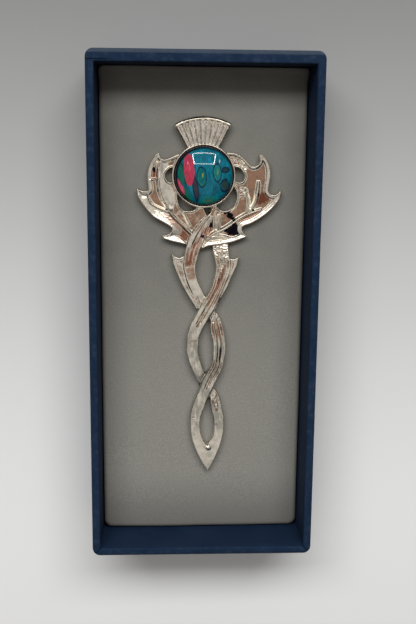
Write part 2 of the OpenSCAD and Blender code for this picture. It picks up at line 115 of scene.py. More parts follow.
# A vein's line, its width in hundredths of a full vein's and its rise in hundredths of VEIN_RISE
# out, up, width, rise
LEFT_VEINS = [
    [
        (67, 20, 50, 0), (67, 5, 90, 50), (67, -15, 90, 100), (63, -31, 80, 100), (57, -43, 70, 100),
        (48, -58, 70, 100), (37, -69, 70, 100), (26, -80, 80, 100), (19, -87, 80, 100),
    ],
    [
        (48, -55, 50, 80), (60, -50, 50, 60), (71, -45, 50, 40), (79, -40, 50, 20), (82.5, -32, 50, 0),
        (84, -24, 50, 0),
    ],
    [(61, -36, 50, 0), (55, -26, 40, -100), (50, -17, 20, -200)],
    [(31, -54, 50, 0), (27, -64, 40, 0), (22, -74, 50, 0)],
    [(83, -6, 40, 0), (68, -3, 50, 0)],
]
LEFT_HOLES = [
    [(40, -26, 1), (39, -36), (36, -45), (30, -51), (22, -52), (14, -50), (10, -44, 2)],
    [(43, 14, 1), (50, 11), (56, 5), (57, -1), (54, -7), (49, -9), (43, -7, 2)],
    [(3.5, -43, 2), (-4.7, -62, 2), (-12, -43, 2)],
]
RIGHT_EDGE = [
    (24, 30, 1), (32, 29), (41, 28), (50, 23), (58, 15), (63, 11), (69, 13), (71.5, 18), (71, 25, 1),
    (76, 25), (80, 21), (84, 14), (86, 4), (85.5, -6), (83.5, -17), (84, -22), (88, -25), (93, -24.5),
    (99, -20, 1), (98, -30), (92, -39), (83, -48), (72, -56), (61, -62), (52, -65), (49, -68), (50, -72),
    (55, -78, 1), (50, -81), (42, -84), (33, -86.5), (18, -89), (5, -90.5), (-3, -93, 2), (-9, -86, 2),
    (0, -64, 2), (0, -38, 2),
]
RIGHT_VEINS = [
    [
        (3, -81, 80, 100), (12, -74, 80, 100), (24, -69, 90, 100), (34, -63, 90, 100), (44, -56, 90, 100),
        (55, -50, 90, 100), (64, -47, 80, 60), (74, -44, 60, 0),
    ],
    [(56, -49, 80, 100), (57.5, -39, 70, 60), (57, -29, 60, 0), (53, -17, 50, -100)],
    [(60, -45, 80, 60), (65, -36, 90, 60), (68, -25, 90, 40), (69.5, -16, 90, 20), (70, -8, 70, 0)],
    [(3, -83, 70, 80), (12, -78, 80, 60), (23, -78, 80, 30), (34, -80, 30, -50)],
    [(12, -51, 80, 30), (12, -67, 80, 30)],
    [(19, -50, 60, 0), (19, -68, 60, 0)],
]
RIGHT_HOLES = [
    [(36, -12, 1), (41, -20), (42, -27), (40, -35), (35, -42), (27, -45), (20, -43), (15, -36, 2)],
    [(37, 11, 1), (45, 9), (49, 5), (52, -1), (50, -7), (45, -9), (37, -6, 2)],
    [(-3, -37, 2), (4, -53, 2), (10.5, -37, 2)],
]
LEFT_LEAFLET = [
    (28, -117, 1), (37, -122), (43, -121), (50, -116, 1), (48.5, -130), (43.5, -146), (34, -168),
    (23.5, -187), (14, -202, 2), (4, -199, 2), (16, -166, 2), (20, -135, 2),
]
RIGHT_LEAFLET = [
    (29, -100, 1), (33, -106), (38, -107.5), (44, -105, 1), (41.5, -117), (37, -127), (29, -145),
    (21, -159), (12, -175, 2), (5, -168, 2), (19, -136, 2), (24, -110, 2),
]

# The strands: down in thousandths of the way from the bezel's edge to the stem's point, the rest in
# hundredths. Across (to the right) and half (the half width) are shares of half the width over the loops,
# groove of the groove's depth, and lift of the dip where a strand passes under or over the other.
STRAND_UNITS = (1000, 100, 100, 100, 100)
# down, across, half, groove, lift
STRAND_LEFT = [
    (-10, 54, 10, 0, 0), (16, 43, 11, 20, 20), (38, 25, 16, 50, 40), (60, 3, 25, 60, 50),
    (90, -21, 35, 60, 40), (119, -41, 39, 60, 20), (142, -55, 38, 50, 0), (166, -65, 36, 50, 0),
    (210, -76, 32, 30, 0), (240, -72, 28, 20, 0), (270, -62, 27, 20, 0), (306, -42, 27, 20, -40),
    (343, -18, 26, 20, -100), (372, 8, 24, 0, -130), (408, 46, 25, 50, -80), (445, 55, 35, 100, -20),
    (475, 63, 35, 100, 0), (505, 67, 34, 100, 0), (535, 67, 34, 100, 0), (565, 62, 32, 100, 0),
    (595, 52, 31, 90, 20), (622, 31, 32, 80, 50), (652, 10, 33, 60, 60), (682, -8, 32, 40, 50),
    (711, -25, 32, 30, 20), (741, -41, 33, 30, 0), (770, -55, 30, 30, 0), (800, -61, 28, 30, 0),
    (829, -61, 27, 30, 0), (859, -56, 28, 30, 0), (888, -44, 30, 30, 0), (918, -24, 36, 20, 0),
    (947, -13, 29, 10, -20), (975, -5, 17, 0, -50), (1000, 2, 3, 0, -80),
]
STRAND_RIGHT = [
    (131, 79, 40, 20, -130), (151, 79, 42, 30, -80), (181, 85, 39, 50, -20), (210, 92, 40, 100, 0),
    (240, 86, 37, 100, 0), (269, 73, 33, 100, 0), (299, 58, 30, 100, 20), (328, 38, 33, 100, 50),
    (358, 16, 36, 100, 60), (387, -7, 35, 100, 50), (417, -30, 35, 60, 20), (446, -51, 35, 30, 0),
    (475, -64, 33, 30, 0), (505, -68, 32, 30, 0), (535, -68, 31, 30, 0), (564, -61, 30, 30, 0),
    (593, -48, 29, 30, 0), (623, -32, 27, 30, -40), (652, -10, 25, 0, -120), (682, 14, 24, 20, -120),
    (704, 38, 24, 40, -60), (726, 44, 27, 80, -10), (755, 50, 30, 40, 0), (785, 59, 29, 30, 0),
    (814, 61, 28, 30, 0), (844, 59, 27, 30, 0), (873, 50, 28, 30, 0), (903, 31, 35, 30, 0),
    (932, 20, 30, 20, -10), (962, 10, 20, 10, -30), (995, 2, 4, 0, -80),
]

# Section across a vein: share of the half width, share of the height
VEIN_SECTION = [(-1.7, 0.56), (-1.3, 0.68), (-1.0, 0.79), (-0.6, 0.93), (0, 1.0), (0.6, 0.93), (1.0, 0.79),
                (1.3, 0.68), (1.7, 0.56)]
# Section across a rim without the slope inside it: share of the width, share of the leaf's thickness
RIM_SECTION = [(0.0, 0.40), (0.05, 0.68), (0.18, 0.90), (0.4, 0.99), (0.6, 1.0), (0.85, 0.965)]
# Reach in millimetres of the slopes inside a rim, for each part of an edge from corner to corner
LEFT_SLOPES = [0.2, 0.5, 2.3, 0.9]
RIGHT_SLOPES = [0.15, 0.4, 0.7, 0.5]
LEAFLET_SLOPES = [0.3, 0.3]
HOLE_SLOPES = [0.05]
# The left leaf's long slope down from a crest: place in shares of the reach, width in millimetres
LEFT_FALL = [(-0.66, 0.22, 2.4), (-0.66, 0.05, 3.0), (-0.66, -0.12, 3.6), (-0.63, -0.26, 3.8),
             (-0.59, -0.36, 3.4), (-0.54, -0.46, 2.0), (-0.50, -0.53, 0.8)]
# Section across it: share of the width, share of the leaf's thickness
FALL_SECTION = [(-1.0, 0.66), (-0.7, 0.74), (-0.35, 0.86), (-0.08, 0.99), (0.0, 1.0), (0.04, 0.72)]
# Section across the lip at the tuft's outer edge: share of the half width, height in millimetres
LIP_SECTION = [(-1.1, 1.9), (-0.85, 2.35), (-0.5, 2.5), (-0.1, 2.4), (0.3, 2.3), (0.6, 2.15), (0.85, 1.8),
               (1, 1)]


# Shapes from tables

def curve_part(rows, i, t):
    """A point between two rows on the smooth curve through a table, each column on its own."""
    a, b = rows[max(i - 1, 0)], rows[i]
    c, d = rows[i + 1], rows[min(i + 2, len(rows) - 1)]
    return 0.5 * (2 * b + (c - a) * t + (2 * a - 5 * b + 4 * c - d) * t**2 + (3 * b - a - 3 * c + d) * t**3)


def smooth(table, steps):
    rows = np.array(table, float)
    points = [curve_part(rows, i, k / steps) for i in range(len(rows) - 1) for k in range(steps)]
    return np.array(points + [rows[-1]])


def edge_parts(edge, reach):
    """The parts of an edge from each corner to the next: the corner's bend, and points in millimetres."""
    corners = [i for i, row in enumerate(edge) if len(row) > 2]
    parts = []
    for first, past in zip(corners, corners[1:] + [corners[0] + len(edge)]):
        bend = edge[first][2]
        rows = np.array([edge[i % len(edge)][:2] for i in range(first, past + 1)]) / 100 * reach
        if bend == 1:
            longest = np.linalg.norm(np.diff(rows, axis=0), axis=1).max()
            rows = smooth(rows, max(1, math.ceil(longest / EDGE_STEP)))
        parts.append((bend, rows))
    return parts


class Shells:
    """Closed shells in millimetres, gathered for one mesh."""

    def __init__(self):
        self.points = []
        self.faces = []

    def add(self, points, faces):
        start = len(self.points)
        self.points.extend(map(tuple, points))
        self.faces.extend(tuple(start + i for i in face) for face in faces)

    def skin(self, rings):
        """A shell through rings of points in order, with a flat cap at both ends."""
        count, n = len(rings), len(rings[0])
        faces = [tuple(range(n - 1, -1, -1)), tuple((count - 1) * n + i for i in range(n))]
        for r in range(count - 1):
            for i in range(n):
                a, b = r * n + i, r * n + (i + 1) % n
                faces.append((a, b, b + n, a + n))
        self.add(np.vstack(rings), faces)

    def prism(self, outline, low, high):
        """A flat plate with an outline, from one height to another."""
        outline = np.asarray(outline)
        self.skin([np.column_stack([outline, np.full(len(outline), z)]) for z in (low, high)])

    def lathe(self, profile, steps):
        """A shell turned round z from a profile that starts and ends on the axis: radius, height."""
        turns = np.arange(steps) * math.tau / steps
        inner = profile[1:-1]
        points = [(0, 0, profile[0][1]), (0, 0, profile[-1][1])]
        points += [(r * math.cos(a), r * math.sin(a), z) for r, z in inner for a in turns]
        faces = []
        last = 2 + (len(inner) - 1) * steps
        for i in range(steps):
            j = (i + 1) % steps
            faces.append((0, 2 + j, 2 + i))
            faces.append((1, last + i, last + j))
            for row in range(len(inner) - 1):
                start = 2 + row * steps
                faces.append((start + i, start + j, start + steps + j, start + steps + i))
        self.add(points, faces)

    def mesh_object(self, name):
        mesh = bpy.data.meshes.new(name)
        mesh.from_pydata(self.points, [], self.faces)
        work = bmesh.new()
        work.from_mesh(mesh)
        bmesh.ops.recalc_face_normals(work, faces=work.faces)
        work.to_mesh(mesh)
        work.free()
        return new_object(name, mesh)


def new_object(name, data):
    piece = bpy.data.objects.new(name, data)
    bpy.context.scene.collection.objects.link(piece)
    return piece


def modified(piece, kind, inputs=None, **settings):
    """Runs one modifier on a piece and keeps its result as the piece's plain mesh."""
    modifier = piece.modifiers.new(kind, kind)
    for name, value in settings.items():
        setattr(modifier, name, value)
    for identifier, value in (inputs or {}).items():
        modifier[identifier] = value
    bpy.context.view_layer.update()
    graph = bpy.context.evaluated_depsgraph_get()
    mesh = bpy.data.meshes.new_from_object(piece.evaluated_get(graph))
    piece.modifiers.clear()
    old = piece.data
    piece.data = mesh
    bpy.data.meshes.remove(old)
    return piece


def joined(pieces, name):
    """One object from several, with their points as they are."""
    work = bmesh.new()
    for piece in pieces:
        work.from_mesh(piece.data)
    mesh = bpy.data.meshes.new(name)
    work.to_mesh(mesh)
    work.free()
    for piece in pieces:
        bpy.data.objects.remove(piece)
    return new_object(name, mesh)


def cut(piece, cutter, operation="DIFFERENCE", solver="EXACT"):
    """Takes a cutter out of a piece, or adds it with UNION, and drops the cutter."""
    modified(piece, "BOOLEAN", object=cutter, operation=operation, solver=solver)
    bpy.data.objects.remove(cutter)
    return piece


def vectors_of(items, key):
    vectors = np.empty(len(items) * 3, np.float32)
    items.foreach_get(key, vectors)
    return vectors.reshape(-1, 3)


def points_of(mesh):
    return vectors_of(mesh.vertices, "co").astype(float)


def set_points(mesh, points):
    mesh.vertices.foreach_set("co", np.asarray(points, np.float32).ravel())
    mesh.update()


def ramp(values, start, end):
    """0 before start, 1 after end, and a smooth rise between them."""
    t = np.clip((values - start) / (end - start), 0, 1)
    return t * t * (3 - 2 * t)


def ripple(points, size, offset=0.0):
    """Smooth seeded noise, -1 to 1, on points in millimetres, with bumps of about that size."""
    return np.array([noise.noise(Vector(p)) for p in points / size + offset])


def band(shells, points, half, section, mirrored):
    """A band from the brooch's back up to its section: half widths and section heights change along it."""
    ahead = np.vstack([points[1:], points[-1:]])
    behind = np.vstack([points[:1], points[:-1]])
    way = ahead - behind
    way /= np.linalg.norm(way, axis=1)[:, None]
    side = np.column_stack([way[:, 1], -way[:, 0]]) * half[:, None]
    flip = np.array([-1 if mirrored else 1, 1, 1])
    rings = []
    for i, point in enumerate(points):
        line = section(i)
        line = [(line[0][0], 0.0)] + line + [(line[-1][0], 0.0)]
        ring = [(point[0] + side[i][0] * u, point[1] + side[i][1] * u, z) for u, z in line]
        rings.append(np.array(ring) * flip)
    shells.skin(rings)


def strand(shells, table):
    """One strand of the stem: a broad flat top with rounded edges, and a narrow groove where it has one."""
    steps = 7
    across_count = 31
    rim_start, groove_side, groove_floor, shallowest = 0.80, 0.36, 0.18, 0.35
    rows = smooth(np.array(table) / STRAND_UNITS, steps)
    down, across, half, groove, lift = rows.T
    points = np.column_stack([across * LOOP_W, -BEZEL_R - down * (STEM_L - BEZEL_R)])
    us = np.linspace(-1, 1, across_count)
    shoulder = np.clip((np.abs(us) - rim_start) / (1 - rim_start), 0, 1)
    rounded = 0.60 + 0.40 * np.sqrt(1 - shoulder**2)
    hollow = ramp(-np.abs(us), -groove_side, -groove_floor)

    def section(i):
        depth = max(groove[i] - shallowest, 0) / (1 - shallowest) * GROOVE_D
        heights = (STRAND_T + lift[i] * DIP) * rounded - depth * hollow
        return list(zip(us, heights))

    band(shells, points, half * LOOP_W, section, False)


def rims(shells, edge, reach, slopes, hand, mirrored, width=RIM_W):
    """A raised rim along each part of an edge that shows, narrower at its ends, with a slope inside it."""
    end_share = 0.25
    slope_fall, field_share = 0.13, 0.62
    shown = [points for bend, points in edge_parts(edge, reach) if bend == 1]
    for points, slope in zip(shown, slopes):
        start, height = RIM_SECTION[-1]
        lower = height - slope_fall * slope
        inside = [(start + t * slope / RIM_W, height + (lower - height) * t) for t in (0.3, 0.6, 1.0)]
        foot = inside[-1][0]
        table = RIM_SECTION + inside + [(foot + 0.2, lower - 0.05), (foot + 0.5, field_share)]
        along = np.concatenate([[0], np.cumsum(np.linalg.norm(np.diff(points, axis=0), axis=1))])
        from_end = np.minimum(along, along[-1] - along)
        end_length = 1.2 + 1.4 * slope
        widths = width * np.clip(end_share + from_end / end_length, end_share, 1)
        line = [(hand * u, LEAF_T * h) for u, h in smooth(table, 2)][::hand]
        band(shells, points, widths, lambda i: line, mirrored)


def vein(shells, table, reach, mirrored):
    rows = smooth(np.array(table) / 100, 6)
    tops = LEAF_T + rows[:, 3] * VEIN_RISE
    line = smooth(VEIN_SECTION, 2)
    halves = rows[:, 2] * VEIN_W * VEIN_HALF_SHARE
    band(shells, rows[:, :2] * reach, halves, lambda i: [(u, tops[i] * h) for u, h in line], mirrored)


def left_fall():
    """The left leaf's long slope."""
    rows = smooth(LEFT_FALL, 6)
    line = [(u, LEAF_T * h) for u, h in FALL_SECTION]
    shells = Shells()
    band(shells, rows[:, :2] * LEFT_REACH, rows[:, 2], lambda i: line, False)
    return cut(shells.mesh_object("left_fall"), hole_cutter(LEFT_HOLES, LEFT_REACH, True))


def plates(name, edges, reach, mirrored, low, high):
    """Flat plates with a table's edges, all from one height to another."""
    shells = Shells()
    for edge in edges:
        outline = np.vstack([points[:-1] for bend, points in edge_parts(edge, reach)])
        shells.prism(outline * [-1 if mirrored else 1, 1], low, high)
    return shells.mesh_object(name)


def hole_cutter(holes, reach, mirrored):
    return plates("hole_cutter", holes, reach, mirrored, -1, 5)


def tuft_reeds(metal):
    """Reeds that spread from the stone's centre: each is a tapered bar with a worn, sloping end."""
    tree = bpy.data.node_groups.new("tuft_reeds", "GeometryNodeTree")
    tree.interface.new_socket("Geometry", in_out="OUTPUT", socket_type="NodeSocketGeometry")
    sizes = {"Reeds": REED_COUNT, "Spread": TUFT_SPREAD, "Inner": 7.4, "Outer": TUFT_R - 0.45,
             "Worn end": REED_END, "Swell": 1.22, "Axis height": TUFT_T + 0.1, "Flatness": 0.65,
             "Inner drop": -0.35, "End narrowing": 0.35, "End drop": -0.45}
    inputs = {}
    for name, value in sizes.items():
        kind = "NodeSocketInt" if name == "Reeds" else "NodeSocketFloat"
        inputs[tree.interface.new_socket(name, in_out="INPUT", socket_type=kind).identifier] = value
    nodes = Nodes(tree)

    def shape(kind, inputs=None):
        return nodes.node("GeometryNode" + kind, inputs)

    given = tree.nodes.new("NodeGroupInput").outputs
    count, spread, inner, outer, worn, swell, axis, flatness, inner_drop, narrowing, end_drop = [
        Value(nodes, given[name]) for name in sizes]
    pitch = spread / count
    bar = shape("CurvePrimitiveLine", {"Start": nodes.spot(0, inner, inner_drop),
                                       "End": nodes.spot(0, outer, 0)})
    bar = shape("ResampleCurve", {"Curve": bar, "Count": 40})
    distance = nodes.parts(shape("InputPosition"))[1]
    shoulder = outer - worn
    slope = nodes.maths("MAXIMUM", distance - shoulder, 0) / worn
    fall = 1 - nodes.maths("SQRT", 1 - slope * slope)
    share = nodes.maths("TANGENT", pitch * 0.5) * swell
    radius = nodes.maths("MINIMUM", distance, shoulder) * share * (1 - fall * narrowing)
    bar = shape("SetPosition", {"Geometry": bar, "Offset": nodes.spot(0, 0, fall * end_drop)})
    ring = shape("CurvePrimitiveCircle", {"Resolution": 28, "Radius": 1.0})
    bar = shape("CurveToMesh", {"Curve": bar, "Profile Curve": ring, "Fill Caps": True, "Scale": radius})
    bar = shape("Transform", {"Geometry": bar, "Translation": nodes.spot(0, 0, axis),
                              "Scale": nodes.spot(1, 1, flatness)})
    row = shape("MeshLine", {"Count": count, "Offset": (0, 0, 0)})
    turn = (shape("InputIndex") - (count - 1) * 0.5) * pitch
    reeds = shape("InstanceOnPoints", {"Points": row, "Instance": bar, "Rotation": nodes.spot(0, 0, turn)})
    reeds = shape("RealizeInstances", {"Geometry": reeds})
    reeds = shape("SetMaterial", {"Geometry": reeds, "Material": metal})
    tree.links.new(reeds.socket, tree.nodes.new("NodeGroupOutput").inputs[0])
    piece = new_object("tuft_reeds", bpy.data.meshes.new("tuft_reeds"))
    return modified(piece, "NODES", inputs, node_group=tree)


def arc(count, spread, radius):
    angles = np.linspace(-spread / 2, spread / 2, count + 1) + math.pi / 2
    return np.column_stack([np.cos(angles), np.sin(angles)]) * radius


# Flat spots of the leaves and strands that mirror what lies straight above
# x, y, half width, half height
CALM_SPOTS = [
    (12.6, 0.5, 2.9, 4.4), (13.5, -5.5, 3.2, 2.6), (-12.2, 1.2, 0.9, 1.6), (-12.3, -4.0, 1.2, 3.0),
    (7.3, -9.2, 2.6, 2.6), (6.8, -13.4, 2.8, 2.0), (-7.0, -13.5, 2.4, 1.4), (8.6, -5.0, 1.4, 2.4),
    (-1.6, -17.5, 2.0, 5.0), (2.0, -29.0, 2.6, 7.5), (-4.5, -10.5, 2.6, 2.2), (-9.5, -9.5, 2.0, 1.6),
    (-13.6, -6.8, 2.6, 4.0), (-11.0, -11.5, 2.4, 2.0), (11.5, -9.6, 3.6, 1.6),
]
# Small pits in the casting, and a bead of metal with a depth below 0: x, y, radius, depth
PITS = [
    (-3.4, -61.2, 0.25, 0.15), (2.3, -63.2, 0.25, 0.15), (5.0, -19.4, 0.40, 0.35), (3.6, -18.0, 0.3, 0.2),
    (10.2, 1.6, 0.25, 0.15), (9.4, 2.3, 0.2, 0.15), (10.4, -3.8, 0.3, 0.2), (0.2, -69.3, 0.55, -0.35),
]
# x, y, half width, half height
ROUGH_SPOTS = [
    (9.5, 1.8, 1.4, 1.6), (9.6, -4.2, 1.3, 1.6), (4.2, -19.0, 2.2, 3.2), (2.4, -12.3, 0.8, 1.6),
    (8.4, 4.0, 2.0, 1.3), (-7.8, -9.8, 1.6, 0.8), (0.2, -69.2, 1.3, 0.9),
    (2.9, -35.5, 1.5, 2.2), (3.0, -56.4, 1.3, 1.8), (-2.6, -31.4, 1.2, 1.2),
]


def spots(points, table):
    """How far points lie inside a table's oval spots, 0 to 1."""
    mask = np.zeros(len(points))
    for x, y, half_w, half_h in table:
        away = np.hypot((points[:, 0] - x) / half_w, (points[:, 1] - y) / half_h)
        mask = np.maximum(mask, ramp(-away, -1.15, -0.75))
    return mask


def cast_surface(mesh):
    """The cast top is never quite flat: soft swells, rough spots and pits, none of them on the back."""
    points = points_of(mesh)
    top = ramp(points[:, 2], 0.7, 1.2) * ramp(vectors_of(mesh.vertex_normals, "vector")[:, 2], -0.2, 0.3)
    flat = points * [1, 1, 0]
    calm = np.maximum(spots(points, CALM_SPOTS), 0.8 * ramp(-points[:, 1], 20, 26))
    rough = spots(points, ROUGH_SPOTS)
    rise = 0.07 * ripple(flat, 3.2) * (1 - 0.7 * calm) + 0.016 * ripple(flat, 0.9, 7.3) * (1 - 0.3 * calm)
    rise += 0.07 * ripple(flat, 0.42, 3.1) * rough
    for x, y, radius, depth in PITS:
        away = np.hypot(points[:, 0] - x, points[:, 1] - y) / radius
        rise -= depth * np.exp(-(away**2))
    points[:, 2] += rise * top
    set_points(mesh, points)


def seat(piece):
    """Turns a piece of the brooch and puts it where the CAD brooch lies."""
    place = Matrix.Translation((STONE_X * MM, STONE_Y * MM, BROOCH_Z * MM))
    piece.data.transform(place @ Matrix.Rotation(BROOCH_TURN, 4, "Z") @ Matrix.Scale(MM, 4))
    piece.data.update()
    return piece


def finish_piece(piece, look, node):
    """Gives a piece its material and lets it stand for a CAD node."""
    piece.data.materials.clear()
    piece.data.materials.append(look)
    piece.data.shade_smooth()
    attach(piece, "root")
    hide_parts(node)
    return piece


def casting():
    """The brooch's metal: leaves, stem, tuft and setting, fused and softened as cast, polished metal is."""
    voxel = 0.115
    most_triangles = 190_000
    plate_low, boss_h, lip_half = 0.05, 2.4, 0.5
    metal = cast_metal()
    leaves = [left_fall()]
    relief = Shells()
    for reach, mirrored, edge, slopes, leaflet, holes, veins in (
        (LEFT_REACH, True, LEFT_EDGE, LEFT_SLOPES, LEFT_LEAFLET, LEFT_HOLES, LEFT_VEINS),
        (RIGHT_REACH, False, RIGHT_EDGE, RIGHT_SLOPES, RIGHT_LEAFLET, RIGHT_HOLES, RIGHT_VEINS),
    ):
        leaf = plates("leaf", [edge], reach, mirrored, plate_low, LEAF_T - FIELD_DROP)
        cut(leaf, hole_cutter(LEFT_HOLES, LEFT_REACH, True))
        cut(leaf, hole_cutter(RIGHT_HOLES, RIGHT_REACH, False))
        leaves += [leaf, plates("leaflet", [leaflet], reach, mirrored, plate_low, LEAF_T * LEAFLET_SHARE)]
        rims(relief, edge, reach, slopes, 1, mirrored)
        rims(relief, leaflet, reach, LEAFLET_SLOPES, 1, mirrored)
        for hole in holes:
            rims(relief, hole, reach, HOLE_SLOPES, -1, mirrored, HOLE_RIM_W)
        for table in veins:
            vein(relief, table, reach, mirrored)
    strand(relief, STRAND_LEFT)
    strand(relief, STRAND_RIGHT)
    lip = arc(36, TUFT_SPREAD * 0.985, TUFT_R - lip_half)
    band(relief, lip, np.full(len(lip), lip_half), lambda i: LIP_SECTION, False)
    outer_arc = arc(REED_COUNT, TUFT_SPREAD, TUFT_R - REED_END / 2)
    inner_arc = arc(REED_COUNT, TUFT_SPREAD, BEZEL_R - 0.3)
    relief.prism(np.vstack([outer_arc, inner_arc[::-1]]), 0, TUFT_T - 0.2)
    relief.lathe([(0, 0), (BEZEL_R - 0.1, 0), (BEZEL_R - 0.1, boss_h), (0, boss_h)], 96)
    body = joined(leaves + [relief.mesh_object("relief"), tuft_reeds(metal)], "cast_brooch")
    modified(body, "REMESH", mode="VOXEL", voxel_size=voxel)
    modified(body, "SMOOTH", factor=0.5, iterations=1)
    cast_surface(body.data)
    triangles = sum(len(face.vertices) - 2 for face in body.data.polygons)
    if triangles > most_triangles:
        modified(body, "DECIMATE", ratio=most_triangles / triangles)
    pocket = [(0, SEAT_T - 0.1), (BEZEL_R - 0.2, SEAT_T - 0.1), (BEZEL_R - 0.2, 6), (0, 6)]
    cut(body, turned("pocket", pocket), solver="MANIFOLD")
    cut(body, turned("cup", cup_profile()), "UNION", "MANIFOLD")
    return finish_piece(seat(body), metal, "casting")


def turned(name, profile):
    shells = Shells()
    shells.lathe(profile, LATHE_STEPS)
    return shells.mesh_object(name)


def skinned(name, rings):
    shells = Shells()
    shells.skin(rings)
    return shells.mesh_object(name)


def cup_profile():
    """Half the section of the cup round the stone, with a rounded lip pressed over the stone's side."""
    pocket_r = STONE_R + STONE_GAP
    middle = (BEZEL_R + pocket_r) / 2
    round_r = (BEZEL_R - pocket_r) / 2
    lip = [(middle + round_r * math.cos(a), BEZEL_H - round_r + round_r * math.sin(a))
           for a in np.linspace(0, math.pi, 9)]
    return [(0, 0.02), (BEZEL_R - 0.06, 0.02), (BEZEL_R, 0.08)] + lip + [(pocket_r, SEAT_T), (0, SEAT_T)]


def stone():
    """The domed stone: a straight side, a rounded shoulder and a low dome."""
    rise = DOME_H - DOME_SHOULDER_R
    inner = STONE_R - DOME_SHOULDER_R
    big_r = (inner**2 + rise**2) / (2 * rise) + DOME_SHOULDER_R
    meet = math.asin(inner / (big_r - DOME_SHOULDER_R))
    top = STONE_SIDE_H + DOME_H
    base = SEAT_T + STONE_GAP
    profile = [(0, 0), (STONE_R - 0.1, 0), (STONE_R, 0.1), (STONE_R, STONE_SIDE_H * 0.5)]
    profile += [(inner + DOME_SHOULDER_R * math.sin(a), STONE_SIDE_H + DOME_SHOULDER_R * math.cos(a))
                for a in np.linspace(math.pi / 2, meet, 16)]
    profile += [(big_r * math.sin(a), top - big_r * (1 - math.cos(a)))
                for a in np.linspace(meet, 0, 18)[1:-1]]
    profile += [(0, top)]
    dome = turned("stone_dome", [(r, z + base) for r, z in profile])
    return finish_piece(seat(dome), pressed_stone(), "stone")


def rounded_ring(half_w, half_l, radius, z, steps):
    """A rounded rectangle's points at a height: the corners' arcs, and steps across and along its sides."""
    points = []
    corner_steps = 8
    for quarter, (sx, sy) in enumerate(((1, 1), (-1, 1), (-1, -1), (1, -1))):
        centre = np.array([sx * (half_w - radius), sy * (half_l - radius)])
        for k in range(corner_steps + 1):
            a = (quarter + k / corner_steps) * math.pi / 2
            points.append(centre + radius * np.array([math.cos(a), math.sin(a)]))
        length = 2 * (half_w - radius) if quarter % 2 == 0 else 2 * (half_l - radius)
        way = np.array([(-1, 0), (0, -1), (1, 0), (0, 1)][quarter], float)
        count = steps[quarter % 2]
        last = points[-1]
        points.extend(last + way * length * k / count for k in range(1, count))
    return np.column_stack([np.array(points), np.full(len(points), z)])


def tray():
    """The tray: board walls wrapped in paper, so that all edges are rounded and the corners show folds."""
    half_w, half_l = (TRAY_HIGH[:2] - TRAY_LOW[:2]) / 2
    top = TRAY_HIGH[2]
    floor = PAD_LOW[2]
    wall = 2.0
    corner, sharpest_corner = 1.9, 0.12
    outer_rim_r, inner_rim_r = 0.75, 0.45
    foot_h, floor_edge = 0.5, 0.3
    levels = np.linspace(0, 1, 9)[1:-1]
    rings = []

    def ring(inset, z):
        radius = max(corner - inset, sharpest_corner)
        rings.append(rounded_ring(half_w - inset, half_l - inset, radius, z, (27, 60)))

    for inset, z in ((1.2, 0.0), (0.3, 0.05), (0.0, foot_h)):
        ring(inset, z)
    for z in levels:
        ring(0.0, foot_h + z * (top - outer_rim_r - foot_h))
    for a in np.linspace(0, math.pi / 2, 7):
        ring(outer_rim_r * (1 - math.cos(a)), top - outer_rim_r * (1 - math.sin(a)))
    first_inner = len(rings)
    for a in np.linspace(math.pi / 2, math.pi, 7):
        ring(wall - inner_rim_r * (1 + math.cos(a)), top - inner_rim_r * (1 - math.sin(a)))
    for z in levels:
        ring(wall, top - inner_rim_r - z * (top - inner_rim_r - floor - floor_edge))
    ring(wall, floor + floor_edge)
    ring(wall + floor_edge, floor)
    for points in rings[first_inner:]:
        points[points[:, 1] > 0, 1] -= HEAD_WALL_MORE
    piece = skinned("wrapped_tray", rings)
    piece.data.transform(Matrix.Scale(MM, 4))
    return finish_piece(piece, wrapped_board(), "tray")


def pin_cutter(gap):
    """The room that the pin on the back needs in the pad: two blocks and a straight stem."""
    pin_d, pin_l, depth, block = 1.1, 50.0, 2.6, 3.0
    shells = Shells()
    for y in (0, -pin_l - block):
        w = block / 2 + gap
        shells.prism([(-w, y - gap), (w, y - gap), (w, y + block + gap), (-w, y + block + gap)],
                     -depth - pin_d - gap, 1)
    turns = np.linspace(0, math.tau, 24, endpoint=False)
    r = pin_d / 2 + gap
    circle = np.column_stack([r * np.cos(turns), np.zeros(24), -depth + r * np.sin(turns)])
    stem = skinned("pin_stem_cutter", [circle + (0, y, 0) for y in (-pin_l, 0.5)])
    return seat(cut(shells.mesh_object("pin_cutter"), stem, "UNION"))


